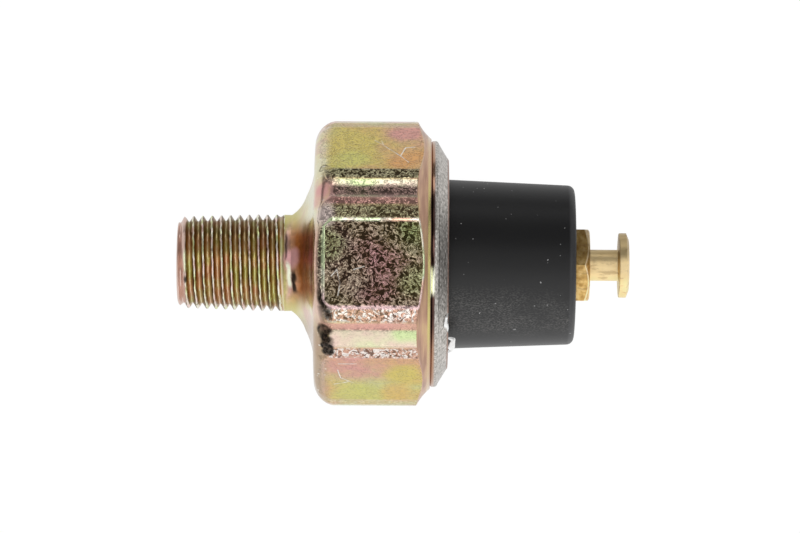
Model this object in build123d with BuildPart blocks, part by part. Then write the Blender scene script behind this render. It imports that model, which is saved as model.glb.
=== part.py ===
from build123d import *
from math import cos, radians, sin
import os

# An oil pressure sender of the on/off kind: a steel hexagon body with a taper thread, a black
# insulator held by the body's rolled lip, and a brass terminal with a round head.
# It lies on one flat of its hexagon with its axis along X, thread towards -X, terminal towards +X.
# The origin is on the surface that it lies on, under the middle of its length.
# A station is a distance along the axis from the end face of the thread, in millimetres.

# Thread and neck
thread_length = 10.6  # from the end face to the shoulder in front of the neck
thread_end_radius = 4.5  # crests at the end face, before the end is rounded
thread_taper = 1 / 32  # growth of the radius for each millimetre of length
thread_taper_length = 8.0  # where the taper runs out on the turned stock
thread_end_round = 0.8
neck_relief = 0.02  # how far the neck is turned below the stock
neck_length = 2.88  # from the shoulder to the underside of the hexagon
neck_fillet_length = 1.4
neck_fillet_bulge = 0.2
ridge_radius = 6.6  # edge between the neck's fillet and the dished underside
ridge_height = 0.88  # how far that edge stands out of the underside
dish_radius = 10.5
dish_bulge = 0.25

# Hexagon, collar and rolled lip
across_flats = 26.0
across_corners = 28.0  # the corners are the turned blank itself
flat_half_width = 4.2
flat_bevel_angle = 14.3  # the narrow bevels beside each flat
hexagon_length = 10.04  # from the underside to the start of the chamfer
underside_edge_radius = 11.9  # where the underside meets its rounded outer corner
underside_round_length = 1.9
underside_round_bulge = 0.47
chamfer_length = 1.33
chamfer_hollow = 0.12  # the chamfer is turned slightly hollow
collar_step = 0.2  # between the end of the chamfer and the collar
collar_radius = 12.1
collar_length = 0.5
lip_length = 1.22
lip_face_width = 1.65
lip_tip_thickness = 0.7
lip_wall = 1.2  # wall of the cup behind the rolled lip

# Cup, pressure chamber and port inside the body
floor_thickness = 4.3  # from the underside to the ledge that carries the ground plate
chamber_radius = 6.0
chamber_depth = 0.8
port_radius = 1.5
port_mouth_chamfer = 0.4
seal_groove_width = 1.7
seal_groove_depth = 1.15
seal_corner_chamfer = 0.35

# Diaphragm, ground plate and gasket
ledge_width = 1.4  # bare metal round the diaphragm, which the ground plate bears on
diaphragm_thickness = 0.3
plate_thickness = 0.8
plate_rim_reach = 1.25  # how far the flat rim reaches in past the middle of the seal ring
plate_step_draft = 0.3
gasket_thickness = 0.8
gasket_setback = 0.7  # from the insulator's bore to the gasket's bore

# Pusher, moving contact and spring
contact_travel = 0.5
pusher_head_setback = 1.7  # from the wall of the raised middle
pusher_head_thickness = 0.6
pusher_stem_radius = 1.5
contact_setback = 1.6  # from the edge of the raised middle
contact_thickness = 0.5
contact_rib_height = 0.2
contact_rib_width = 0.8
contact_boss_height = 0.6
spring_mean_radius = 2.5
spring_wire_radius = 0.3
spring_coils = 5

# Insulator
tower_base_radius = 8.32
tower_top_radius = 7.84
tower_length = 12.38  # from the end of the rolled lip to the seat of the terminal
tower_top_round = 0.7
lower_chamber_length = 5.6
roof_thickness = 6.5
seal_pocket_depth = 1.2

# Terminal stud, washer and nut
terminal_across_flats = 7.0
terminal_hexagon_height = 1.5
terminal_hexagon_chamfer = 0.3
terminal_neck_radius = 1.53
terminal_neck_length = 2.9
terminal_head_radius = 3.175
terminal_head_height = 0.97
terminal_head_chamfer_length = 0.25
terminal_head_chamfer_width = 0.6
terminal_head_fillet = 0.2
shank_radius = 2.0
shank_end_length = 0.8  # how far the shank stands out of its nut
shank_end_chamfer = 0.3
terminal_seal_setback = 0.4  # how far the hexagon reaches past the seal under it
washer_radius = 4.4
washer_thickness = 0.6
nut_across_flats = 7.0
nut_height = 2.2
nut_chamfer = 0.3

# Clearances
lip_gap = 0.23  # between the rolled lip and the insulator's tower
plate_gap = 0.5  # round the raised middle of the ground plate
washer_gap = 0.6  # round the washer
fit_clearance = 0.05  # between pieces that are clamped or pressed together
slide_clearance = 0.08  # round the stem of the pusher
stop_clearance = 0.1  # left over the head of the pusher at full travel
spring_end_clearance = 0.05
spring_boss_clearance = 0.15  # between the spring and the boss inside it

# Radii that follow from the ones above
thread_stock_radius = thread_end_radius + thread_taper * thread_taper_length
neck_radius = thread_stock_radius - neck_relief
blank_radius = across_corners / 2
chamfer_end_radius = collar_radius + collar_step
cup_radius = collar_radius - lip_wall
lip_inner_radius = tower_base_radius + lip_gap
lip_tip_radius = lip_inner_radius + lip_face_width
clamped_radius = cup_radius - fit_clearance
diaphragm_radius = cup_radius - ledge_width
seal_groove_radius = (chamber_radius + diaphragm_radius) / 2
plate_step_base_radius = seal_groove_radius - plate_rim_reach
plate_step_top_radius = plate_step_base_radius - plate_step_draft
plate_step_radius = plate_step_base_radius - plate_thickness
pusher_head_radius = plate_step_radius - pusher_head_setback
contact_radius = plate_step_top_radius - contact_setback
lower_chamber_radius = plate_step_base_radius + plate_gap
upper_chamber_radius = washer_radius + washer_gap
shank_hole_radius = shank_radius + fit_clearance
terminal_seal_radius = terminal_across_flats / 2 - terminal_seal_setback
boss_radius = spring_mean_radius - spring_wire_radius - spring_boss_clearance

# Stations along the axis
underside = thread_length + neck_length
hexagon_end = underside + hexagon_length
collar_start = hexagon_end + chamfer_length
lip_start = collar_start + collar_length
lip_end = lip_start + lip_length
lip_underside = lip_end - lip_tip_thickness
lip_root = lip_underside - (cup_radius - lip_inner_radius) / 2
ledge = underside + floor_thickness
cup_floor = ledge - diaphragm_thickness
plate_rim_top = ledge + plate_thickness
plate_rise = pusher_head_thickness + contact_travel + stop_clearance
contact_seat = plate_rim_top + plate_rise
contact_underside = contact_seat + contact_rib_height
contact_top = contact_underside + contact_thickness
flange_seat = plate_rim_top + gasket_thickness
terminal_seat = lip_end + tower_length
chamber_roof = terminal_seat - roof_thickness
nut_face = chamber_roof - washer_thickness - nut_height
shank_end = nut_face - shank_end_length
terminal_neck_start = terminal_seat + terminal_hexagon_height
terminal_head_start = terminal_neck_start + terminal_neck_length
overall_length = terminal_head_start + terminal_head_height

# The part lies with its axis half the hexagon's width above the surface
axis_height = across_flats / 2
end_face_x = -overall_length / 2
profile_plane = Plane(origin=(end_face_x, 0, axis_height), x_dir=(1, 0, 0), z_dir=(0, -1, 0))
turning_axis = Axis((end_face_x, 0, axis_height), (1, 0, 0))


def across(station):
    """The plane across the axis at a station, with its Y upwards."""
    return Plane(origin=(end_face_x + station, 0, axis_height), x_dir=(0, 1, 0), z_dir=(1, 0, 0))


def polar(radius, degrees):
    """A point of a plane across the axis, given round the axis."""
    return (radius * cos(radians(degrees)), radius * sin(radians(degrees)))


os.makedirs("parts", exist_ok=True)

# Hexagon body: one turned steel piece. Its blank is turned first, the hexagon is cut on the blank,
# and the cup, the pressure chamber and the port are bored from its two ends.
fillet_start = underside - ridge_height - neck_fillet_length
first_crest = (thread_end_round, thread_end_radius + thread_taper * thread_end_round)
ridge = (underside - ridge_height, ridge_radius)
rounded_corner = (underside + underside_round_length, blank_radius)
bevel_reach = across_flats / 2 * cos(radians(flat_bevel_angle))
bevel_reach += flat_half_width * sin(radians(flat_bevel_angle))
bevel_corner = bevel_reach / cos(radians(30 - flat_bevel_angle))
flat_and_bevels = [
    (0, 0),
    polar(bevel_corner, -30),
    (across_flats / 2, -flat_half_width),
    (across_flats / 2, flat_half_width),
    polar(bevel_corner, 30),
]
with BuildPart() as hex_body:
    with BuildSketch(profile_plane):
        with BuildLine():
            Line((0, 0), (0, thread_end_radius - thread_end_round))
            RadiusArc((0, thread_end_radius - thread_end_round), first_crest, thread_end_round)
            Polyline(
                first_crest,
                (thread_taper_length, thread_stock_radius),
                (thread_length, thread_stock_radius),
                (thread_length, neck_radius),
                (fillet_start, neck_radius),
            )
            SagittaArc((fillet_start, neck_radius), ridge, -neck_fillet_bulge)
            SagittaArc(ridge, (underside, dish_radius), -dish_bulge)
            Line((underside, dish_radius), (underside, underside_edge_radius))
            SagittaArc((underside, underside_edge_radius), rounded_corner, underside_round_bulge)
            Line(rounded_corner, (hexagon_end, blank_radius))
            SagittaArc((hexagon_end, blank_radius), (collar_start, chamfer_end_radius), -chamfer_hollow)
            Polyline(
                (collar_start, chamfer_end_radius),
                (collar_start, collar_radius),
                (lip_start, collar_radius),
                (lip_end, lip_tip_radius),
                (lip_end, 0),
                (0, 0),
            )
        make_face()
    revolve(axis=turning_axis)
    with BuildSketch(across(0)):
        with PolarLocations(0, 6, start_angle=30):
            Polygon(*flat_and_bevels, align=None)
    extrude(amount=lip_end, mode=Mode.INTERSECT)
    with BuildSketch(profile_plane):
        with BuildLine():
            Polyline(
                (ledge, 0),
                (ledge, cup_radius),
                (lip_root, cup_radius),
                (lip_underside, lip_inner_radius),
                (lip_end, lip_inner_radius),
                (lip_end, 0),
                (ledge, 0),
            )
        make_face()
    revolve(axis=turning_axis, mode=Mode.SUBTRACT)
    with BuildSketch(across(cup_floor)):
        Circle(diaphragm_radius + fit_clearance)
    extrude(amount=diaphragm_thickness, mode=Mode.SUBTRACT)
    with BuildSketch(across(cup_floor)):
        Circle(seal_groove_radius + seal_groove_width / 2)
        Circle(seal_groove_radius - seal_groove_width / 2, mode=Mode.SUBTRACT)
    extrude(amount=-seal_groove_depth, mode=Mode.SUBTRACT)
    with BuildSketch(across(cup_floor)):
        Circle(chamber_radius)
    extrude(amount=-chamber_depth, mode=Mode.SUBTRACT)
    with BuildSketch(across(0)):
        Circle(port_radius)
    extrude(amount=cup_floor, mode=Mode.SUBTRACT)
    port_mouth = hex_body.edges().filter_by(GeomType.CIRCLE).group_by(Axis.X)[0].sort_by(SortBy.RADIUS)[0]
    chamfer(port_mouth, port_mouth_chamfer)
hex_body.part.label = "hex_body"
export_step(hex_body.part, "parts/hex_body.step")

# Seal ring: rubber, squashed into its groove in the floor of the cup by the diaphragm
with BuildPart() as seal_ring:
    with BuildSketch(profile_plane):
        with Locations((cup_floor - seal_groove_depth / 2, seal_groove_radius)):
            squashed = Rectangle(seal_groove_depth, seal_groove_width - 2 * fit_clearance)
        chamfer(squashed.vertices(), seal_corner_chamfer)
    revolve(axis=turning_axis)
seal_ring.part.label = "seal_ring"
export_step(seal_ring.part, "parts/seal_ring.step")

# Diaphragm: a disc of film in a recess of the floor, flush with the ledge round it
with BuildPart() as diaphragm:
    with BuildSketch(across(cup_floor)):
        Circle(diaphragm_radius)
    extrude(amount=diaphragm_thickness)
diaphragm.part.label = "diaphragm"
export_step(diaphragm.part, "parts/diaphragm.step")

# Ground plate: pressed steel. Its rim bears on the ledge and holds the diaphragm, and its raised
# middle leaves room for the pusher's head and is the fixed contact.
with BuildPart() as ground_plate:
    with BuildSketch(profile_plane):
        with BuildLine():
            Polyline(
                (ledge, clamped_radius),
                (ledge, plate_step_radius + plate_step_draft),
                (ledge + plate_rise, plate_step_radius),
                (ledge + plate_rise, pusher_stem_radius + slide_clearance),
                (contact_seat, pusher_stem_radius + slide_clearance),
                (contact_seat, plate_step_top_radius),
                (plate_rim_top, plate_step_base_radius),
                (plate_rim_top, clamped_radius),
                close=True,
            )
        make_face()
    revolve(axis=turning_axis)
ground_plate.part.label = "ground_plate"
export_step(ground_plate.part, "parts/ground_plate.step")

# Flange gasket: between the rim of the ground plate and the insulator's flange
with BuildPart() as flange_gasket:
    with BuildSketch(across(plate_rim_top)):
        Circle(clamped_radius)
        Circle(lower_chamber_radius + gasket_setback, mode=Mode.SUBTRACT)
    extrude(amount=gasket_thickness)
flange_gasket.part.label = "flange_gasket"
export_step(flange_gasket.part, "parts/flange_gasket.step")

# Pusher: a moulded button on the diaphragm, with a stem through the ground plate
with BuildPart() as pusher:
    with BuildSketch(across(ledge)):
        Circle(pusher_head_radius)
    extrude(amount=pusher_head_thickness)
    with BuildSketch(across(ledge + pusher_head_thickness)):
        Circle(pusher_stem_radius)
    extrude(amount=contact_underside - ledge - pusher_head_thickness)
pusher.part.label = "pusher"
export_step(pusher.part, "parts/pusher.step")

# Moving contact: a brass disc with a rib that rests on the ground plate and a boss for the spring
with BuildPart() as moving_contact:
    with BuildSketch(across(contact_underside)):
        Circle(contact_radius)
    extrude(amount=contact_thickness)
    with BuildSketch(across(contact_underside)):
        Circle(contact_radius)
        Circle(contact_radius - contact_rib_width, mode=Mode.SUBTRACT)
    extrude(amount=-contact_rib_height)
    with BuildSketch(across(contact_top)):
        Circle(boss_radius)
    extrude(amount=contact_boss_height)
moving_contact.part.label = "moving_contact"
export_step(moving_contact.part, "parts/moving_contact.step")

# Contact spring: holds the moving contact down and carries the current to the nut
spring_start = contact_top + spring_end_clearance + spring_wire_radius
spring_height = nut_face - spring_end_clearance - spring_wire_radius - spring_start
with BuildPart() as contact_spring:
    with BuildLine():
        coil = Helix(
            pitch=spring_height / spring_coils,
            height=spring_height,
            radius=spring_mean_radius,
            center=(end_face_x + spring_start, 0, axis_height),
            direction=(1, 0, 0),
        )
    with BuildSketch(Plane(origin=coil @ 0, z_dir=coil % 0)):
        Circle(spring_wire_radius)
    sweep(path=coil, is_frenet=True)
contact_spring.part.label = "contact_spring"
export_step(contact_spring.part, "parts/contact_spring.step")

# Insulator: one black moulding. The lip holds its flange, the tower stands out of the body, and
# the chamber inside houses the contact and its spring.
with BuildPart() as insulator:
    with BuildSketch(profile_plane):
        with BuildLine():
            Polyline(
                (terminal_seat, tower_top_radius - tower_top_round),
                (terminal_seat, terminal_seal_radius + fit_clearance),
                (terminal_seat - seal_pocket_depth, terminal_seal_radius + fit_clearance),
                (terminal_seat - seal_pocket_depth, shank_hole_radius),
                (chamber_roof, shank_hole_radius),
                (chamber_roof, upper_chamber_radius),
                (flange_seat + lower_chamber_length, upper_chamber_radius),
                (flange_seat + lower_chamber_length, lower_chamber_radius),
                (flange_seat, lower_chamber_radius),
                (flange_seat, clamped_radius),
                (lip_root - fit_clearance, clamped_radius),
                (lip_underside - fit_clearance, tower_base_radius),
                (lip_end, tower_base_radius),
                (terminal_seat - tower_top_round, tower_top_radius),
            )
            RadiusArc(
                (terminal_seat - tower_top_round, tower_top_radius),
                (terminal_seat, tower_top_radius - tower_top_round),
                tower_top_round,
            )
        make_face()
    revolve(axis=turning_axis)
insulator.part.label = "insulator"
export_step(insulator.part, "parts/insulator.step")

# Terminal seal: a rubber ring round the shank, in the pocket under the terminal's hexagon
with BuildPart() as terminal_seal:
    with BuildSketch(across(terminal_seat - seal_pocket_depth)):
        Circle(terminal_seal_radius)
        Circle(shank_hole_radius, mode=Mode.SUBTRACT)
    extrude(amount=seal_pocket_depth)
terminal_seal.part.label = "terminal_seal"
export_step(terminal_seal.part, "parts/terminal_seal.step")

# Terminal stud: one turned brass piece, shank, hexagon, neck and head
hexagon_corner_radius = terminal_across_flats / 2 / cos(radians(30))
with BuildPart() as terminal_stud:
    with BuildSketch(across(terminal_seat)):
        RegularPolygon(terminal_across_flats / 2, 6, major_radius=False, rotation=30)
    extrude(amount=terminal_hexagon_height)
    with BuildSketch(profile_plane):
        with BuildLine():
            Polyline(
                (terminal_seat, 0),
                (terminal_seat, hexagon_corner_radius),
                (terminal_neck_start - terminal_hexagon_chamfer, hexagon_corner_radius),
                (terminal_neck_start, hexagon_corner_radius - 2 * terminal_hexagon_chamfer),
                (terminal_neck_start, 0),
                close=True,
            )
        make_face()
    revolve(axis=turning_axis, mode=Mode.INTERSECT)
    with BuildSketch(profile_plane):
        with BuildLine():
            Polyline(
                (terminal_head_start, terminal_neck_radius + terminal_head_fillet),
                (terminal_head_start, terminal_head_radius),
                (overall_length - terminal_head_chamfer_length, terminal_head_radius),
                (overall_length, terminal_head_radius - terminal_head_chamfer_width),
                (overall_length, 0),
                (shank_end, 0),
                (shank_end, shank_radius - shank_end_chamfer),
                (shank_end + shank_end_chamfer, shank_radius),
                (terminal_seat, shank_radius),
                (terminal_seat, terminal_neck_radius),
                (terminal_head_start - terminal_head_fillet, terminal_neck_radius),
            )
            RadiusArc(
                (terminal_head_start - terminal_head_fillet, terminal_neck_radius),
                (terminal_head_start, terminal_neck_radius + terminal_head_fillet),
                terminal_head_fillet,
            )
        make_face()
    revolve(axis=turning_axis)
terminal_stud.part.label = "terminal_stud"
export_step(terminal_stud.part, "parts/terminal_stud.step")

# Terminal washer: between the nut and the roof of the insulator's chamber
with BuildPart() as terminal_washer:
    with BuildSketch(across(chamber_roof - washer_thickness)):
        Circle(washer_radius)
        Circle(shank_hole_radius, mode=Mode.SUBTRACT)
    extrude(amount=washer_thickness)
terminal_washer.part.label = "terminal_washer"
export_step(terminal_washer.part, "parts/terminal_washer.step")

# Terminal nut: pulls the stud's hexagon down on the insulator, and is the spring's upper seat
nut_corner_radius = nut_across_flats / 2 / cos(radians(30))
with BuildPart() as terminal_nut:
    with BuildSketch(across(nut_face)):
        RegularPolygon(nut_across_flats / 2, 6, major_radius=False)
        Circle(shank_hole_radius, mode=Mode.SUBTRACT)
    extrude(amount=nut_height)
    with BuildSketch(profile_plane):
        with BuildLine():
            Polyline(
                (nut_face, 0),
                (nut_face, nut_corner_radius - 2 * nut_chamfer),
                (nut_face + nut_chamfer, nut_corner_radius),
                (nut_face + nut_height, nut_corner_radius),
                (nut_face + nut_height, 0),
                close=True,
            )
        make_face()
    revolve(axis=turning_axis, mode=Mode.INTERSECT)
terminal_nut.part.label = "terminal_nut"
export_step(terminal_nut.part, "parts/terminal_nut.step")
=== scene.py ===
from math import cos, hypot, pi, radians, sin, sqrt, tan

import bmesh
import bpy
import numpy as np
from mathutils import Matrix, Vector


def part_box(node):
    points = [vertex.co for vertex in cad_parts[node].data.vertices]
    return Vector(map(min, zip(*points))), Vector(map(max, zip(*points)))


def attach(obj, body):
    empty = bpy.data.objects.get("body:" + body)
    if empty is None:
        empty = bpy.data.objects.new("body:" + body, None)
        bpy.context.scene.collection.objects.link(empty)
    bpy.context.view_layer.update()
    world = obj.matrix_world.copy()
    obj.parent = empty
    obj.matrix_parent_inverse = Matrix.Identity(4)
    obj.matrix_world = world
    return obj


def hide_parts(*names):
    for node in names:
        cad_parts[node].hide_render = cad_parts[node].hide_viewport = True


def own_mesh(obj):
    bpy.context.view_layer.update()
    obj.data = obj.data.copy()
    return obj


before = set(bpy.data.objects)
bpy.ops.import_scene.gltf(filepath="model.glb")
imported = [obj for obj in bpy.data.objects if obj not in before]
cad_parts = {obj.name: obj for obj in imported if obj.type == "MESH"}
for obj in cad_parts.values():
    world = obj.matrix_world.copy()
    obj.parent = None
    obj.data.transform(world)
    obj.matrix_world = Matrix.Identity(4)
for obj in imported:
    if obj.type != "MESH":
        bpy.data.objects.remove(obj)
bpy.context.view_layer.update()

# Lengths on the part are in millimetres from here on, and become metres where a mesh is made.
# A station is a distance along the part's axis from the end face of its thread.
MM = 0.001
body_low, body_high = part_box("hex_body")
end_face_x = body_low.x / MM
axis_height = (body_low.z + body_high.z) / 2 / MM


# Camera: straight above the part, which lies on one flat of its hexagon. The part's axis runs
# across the picture and drops a little to the right.
def put(name, data):
    """An object in the scene, made of its data."""
    thing = bpy.data.objects.new(name, data)
    bpy.context.scene.collection.objects.link(thing)
    return thing


mm_per_pixel = 0.0985
picture_width = 800
picture_height = 533
end_face_pixel = 178.2
axis_row_at_centre = 263.75
axis_tilt = 0.44
camera_distance = 440.0
camera_data = bpy.data.cameras.new("camera")
camera_data.sensor_width = 36.0
camera_data.lens = 36.0 * camera_distance / (picture_width * mm_per_pixel)
camera_data.clip_start = 0.01
camera = put("camera", camera_data)
camera_x = end_face_x + (picture_width / 2 - end_face_pixel) * mm_per_pixel
camera_y = (axis_row_at_centre - picture_height / 2) * mm_per_pixel
camera.location = (camera_x * MM, camera_y * MM, (axis_height + camera_distance) * MM)
camera.rotation_euler = (0, 0, radians(axis_tilt))
bpy.context.scene.camera = camera


# Hexagon body: one steel piece with a taper thread, a hexagon, a collar and a lip that is rolled
# over the insulator's flange. It was turned from drawn bar, which still shows on its flats.
def line(start, end, count):
    """Points from start up to end, without the end."""
    return [
        (start[0] + (end[0] - start[0]) * i / count, start[1] + (end[1] - start[1]) * i / count)
        for i in range(count)
    ]


def arc(start, end, bulge, count):
    """Points of a round arc from start up to end, without the end. The bulge is to its left."""
    length = hypot(end[0] - start[0], end[1] - start[1])
    along = ((end[0] - start[0]) / length, (end[1] - start[1]) / length)
    radius = (length**2 / 4 + bulge**2) / (2 * abs(bulge))
    points = []
    for i in range(count):
        way = length * i / count
        height = sqrt(radius**2 - (way - length / 2) ** 2) - (radius - abs(bulge))
        height = height if bulge > 0 else -height
        points.append(
            (start[0] + along[0] * way - along[1] * height, start[1] + along[1] * way + along[0] * height)
        )
    return points


def through(start, *runs):
    """Points of an outline, without its last end. Each run is (end, count) or, for an arc,
    (end, count, bulge)."""
    points = []
    for end, count, *bulge in runs:
        points += arc(start, end, *bulge, count) if bulge else line(start, end, count)
        start = end
    return points


def turned_mesh(name, angles, rings, closed):
    """A mesh through rings round the part's axis. Each ring is (stations, radii), one per angle."""
    across = np.sin(angles)
    up = np.cos(angles)
    points, loops = [], []
    for stations, radii in rings:
        stations = np.broadcast_to(stations, angles.shape)
        radii = np.broadcast_to(radii, angles.shape)
        if radii.max() == 0:
            loops.append(np.full(len(angles), len(points)))
            points.append((end_face_x + stations[0], 0.0, axis_height))
            continue
        loops.append(len(points) + np.arange(len(angles)))
        points += list(zip(end_face_x + stations, radii * across, axis_height + radii * up))
    faces = []
    pairs = list(zip(loops, loops[1:])) + ([(loops[-1], loops[0])] if closed else [])
    for this, other in pairs:
        for i in range(len(angles)):
            j = (i + 1) % len(angles)
            corners = [this[i], other[i], other[j], this[j]]
            faces.append([int(c) for k, c in enumerate(corners) if c != corners[k - 1]])
    mesh = bpy.data.meshes.new(name)
    mesh.from_pydata([tuple(MM * c for c in p) for p in points], [], faces)
    mesh.validate()
    return put(name, mesh)


def finish_surface(piece, sharp_angle):
    """Turns the faces outwards and shades them smooth up to an angle."""
    shell = bmesh.new()
    shell.from_mesh(piece.data)
    bmesh.ops.recalc_face_normals(shell, faces=shell.faces)
    shell.to_mesh(piece.data)
    shell.free()
    piece.data.shade_smooth()
    piece.data.set_sharp_from_angle(angle=radians(sharp_angle))


apothem = 13.0
corner_radius = 14.0
flat_half_angle = 18.0
half_sector = [0, 3, 6, 9, 12, 14, 15.2, 16.2, 16.9, 17.4, 17.8, 18.2, 18.6, 19.1, 19.8, 21, 22.2]
half_sector = np.array(half_sector + [23.2, 24, 24.8, 26, 27.5, 29, 30], float)
sector = np.concatenate([half_sector, 60 - half_sector[-2:0:-1]])
hexagon_degrees = np.concatenate([sector + 60 * k for k in range(6)])
hexagon_angles = np.radians(hexagon_degrees)
from_flat = np.abs((hexagon_degrees + 30) % 60 - 30)


# Each flat has a bevel on both sides, a steep one and a shallow one, and a round corner joins the
# steep bevel of one flat to the shallow bevel of the next.
def hexagon_outline(degrees_round):
    """Radius of the hexagon at angles round it."""
    from_middle = np.abs((degrees_round + 30) % 60 - 30)
    shallow = degrees_round % 60 > 30
    slope = np.radians(np.where(shallow, 10.0, 14.3))
    bevel_end = np.where(shallow, 23.4, 24.0)
    turned = np.radians(from_middle)
    flat = apothem / np.cos(np.minimum(turned, 0.5))
    half_width = apothem * tan(radians(flat_half_angle))
    bevel_distance = apothem * np.cos(slope) + half_width * np.sin(slope)
    bevel = bevel_distance / np.cos(turned - slope)
    end_radius = bevel_distance / np.cos(np.radians(bevel_end) - slope)
    gap = np.cos(np.radians(30 - bevel_end))
    centre = (corner_radius**2 - end_radius**2) / (2 * corner_radius - 2 * end_radius * gap)
    off_corner = np.radians(30 - np.maximum(from_middle, bevel_end))
    corner = centre * np.cos(off_corner)
    corner += np.sqrt((corner_radius - centre) ** 2 - (centre * np.sin(off_corner)) ** 2)
    return np.where(from_middle <= flat_half_angle, flat, np.where(from_middle > bevel_end, corner, bevel))


fine_degrees = np.arange(-5.0, 365.0, 0.05)
edge_window = np.ones(41) / 41
softened = np.convolve(hexagon_outline(fine_degrees), edge_window, "same")
hexagon_radius = np.minimum(np.interp(hexagon_degrees, fine_degrees, softened), corner_radius)

thread_length = 10.6
thread_end_round = 0.8
thread_taper = 1 / 32
thread_stock_radius = 4.75
thread_end_radius = 4.5
neck_radius = 4.73
port_radius = 1.5
port_chamfer = 0.4
underside = 13.48
hexagon_end = 23.52
collar_start = 24.85
collar_radius = 12.1
lip_start = 25.35
lip_end = 26.57
lip_tip_radius = 10.2
lip_inner_radius = 8.55
underside_edge = (underside, 11.9)
rounded_corner = (underside + 1.9, corner_radius)
chamfer_foot = (collar_start, 12.3)
thread_rows = 176

chamber_floor = 16.68
rings = through(
    (chamber_floor, port_radius),
    ((port_chamfer, port_radius), 4),
    ((0, port_radius + port_chamfer), 2),
    ((0, thread_end_radius - thread_end_round), 4),
    ((thread_end_round, thread_end_radius + thread_taper * thread_end_round), 8, 0.24),
)
for row in range(thread_rows):
    station = thread_end_round + (thread_length - thread_end_round) * row / thread_rows
    rings.append((station, min(thread_end_radius + thread_taper * station, thread_stock_radius)))
rings += through(
    (thread_length, thread_stock_radius),
    ((thread_length + 0.04, neck_radius), 2),
    ((underside - 2.28, neck_radius), 3),
    ((underside - 0.88, 6.6), 12, -0.2),
    ((underside, 10.5), 12, -0.25),
    (underside_edge, 3),
)


def along_curve(curve, places):
    """Stations and radii of a curve at places counted in its points."""
    count = np.arange(len(curve))
    return np.interp(places, count, curve[:, 0]), np.interp(places, count, curve[:, 1])


def soft_edge(before, edge, after, steps):
    """Rings that round an edge off between a ring before it and a ring after it."""
    for t in steps:
        shares = ((1 - t) ** 2, 2 * t * (1 - t), t**2)
        rings.append(tuple(sum(w * p[k] for w, p in zip(shares, (before, edge, after))) for k in (0, 1)))


# The turned underside curves up to a bevel in front of each flat. The flat starts behind the
# bevel, later at its two ends than along its middle.
flat_start = 14.56
flat_corner_cut = 0.8
across_flat = apothem * np.tan(np.radians(np.minimum(from_flat, flat_half_angle)))
start_station = flat_start + flat_corner_cut * np.clip((across_flat - 3.6) / 0.6, 0, 1)
front_slope = tan(radians(20))
front_share = np.clip((28 - from_flat) / 4, 0, 1)
blank = np.array(arc(underside_edge, rounded_corner, 0.47, 400) + [rounded_corner])
ahead = np.maximum(start_station[:, None] - blank[None, :, 0], 0)
front = hexagon_radius[:, None] - ahead * (front_slope * front_share)[:, None]
leave = np.argmax(blank[None, :, 1] >= front - 1e-6, axis=1).astype(float)
leave_ring = along_curve(blank, leave)
start_station = np.maximum(start_station, leave_ring[0] + 0.06)
before_bevel = np.clip(leave - 45, 4, None)
for k in range(9):
    rings.append(along_curve(blank, before_bevel * k / 9))


def on_front(station):
    """The ring of the bevel in front of the flats at a station."""
    ahead = np.maximum(start_station - station, 0)
    return station, hexagon_radius - ahead * front_slope * front_share


bevel_length = start_station - leave_ring[0]
meet_ring = on_front(leave_ring[0])
after_meet = on_front(leave_ring[0] + 0.4 * bevel_length)
soft_edge(along_curve(blank, before_bevel), meet_ring, after_meet, (0, 0.25, 0.5, 0.75))
rough_first_ring = len(rings)
for share in (0.4, 0.6):
    rings.append(on_front(leave_ring[0] + share * bevel_length))
crisp = np.minimum(0.18, 0.25 * bevel_length)
flat_first_ring = len(rings)
after_edge = (start_station + 0.1, hexagon_radius)
soft_edge(on_front(start_station - crisp), (start_station, hexagon_radius), after_edge, (0, 0.35, 0.7))

hollow = np.array(arc((hexagon_end, corner_radius), chamfer_foot, -0.12, 60) + [chamfer_foot])
meet_place = np.interp(-hexagon_radius, -hollow[:, 1], np.arange(len(hollow)))
meet_station = along_curve(hollow, meet_place)[0]
chamfer_softness = 0.12
for k in range(9):
    t = k / 8
    station = after_edge[0] + (meet_station - chamfer_softness - after_edge[0]) * t
    rings.append((station, hexagon_radius))
flat_last_ring = len(rings)
soft_place = np.minimum(meet_place + 4, len(hollow) - 8)
behind = along_curve(hollow, soft_place)
soft_edge(rings[-1], (meet_station, hexagon_radius), behind, (0.25, 0.5, 0.75))
for k in range(6):
    rings.append(along_curve(hollow, soft_place + (len(hollow) - 1 - soft_place) * k / 6))

collar_groove = 0.12
lip_root = 24.695
cup_radius = 10.9
ledge = 17.78
cup_floor = 17.48
groove_floor = 16.33
recess_radius, groove_radius, groove_bore, chamber_radius = 9.55, 8.6, 6.9, 6.0
rings += through(
    chamfer_foot,
    ((collar_start + 0.02, collar_radius - collar_groove), 2),
    ((collar_start + 0.14, collar_radius), 2),
    ((lip_start, collar_radius), 4),
    ((lip_start + 0.25, collar_radius - 0.32), 4, 0.05),
    ((lip_end - 0.1, lip_tip_radius + 0.16), 10),
    ((lip_end, lip_tip_radius - 0.1), 4, 0.04),
    ((lip_end, lip_inner_radius), 6),
    ((lip_end - 0.7, lip_inner_radius), 2),
    ((lip_root, cup_radius), 2),
    ((ledge, cup_radius), 2),
    ((ledge, recess_radius), 2),
    ((cup_floor, recess_radius), 2),
    ((cup_floor, groove_radius), 2),
    ((groove_floor, groove_radius), 2),
    ((groove_floor, groove_bore), 2),
    ((cup_floor, groove_bore), 2),
    ((cup_floor, chamber_radius), 2),
    ((chamber_floor, chamber_radius), 2),
    ((chamber_floor, port_radius), 2),
)
steel_body = turned_mesh("steel_body", hexagon_angles, rings, closed=True)


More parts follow.
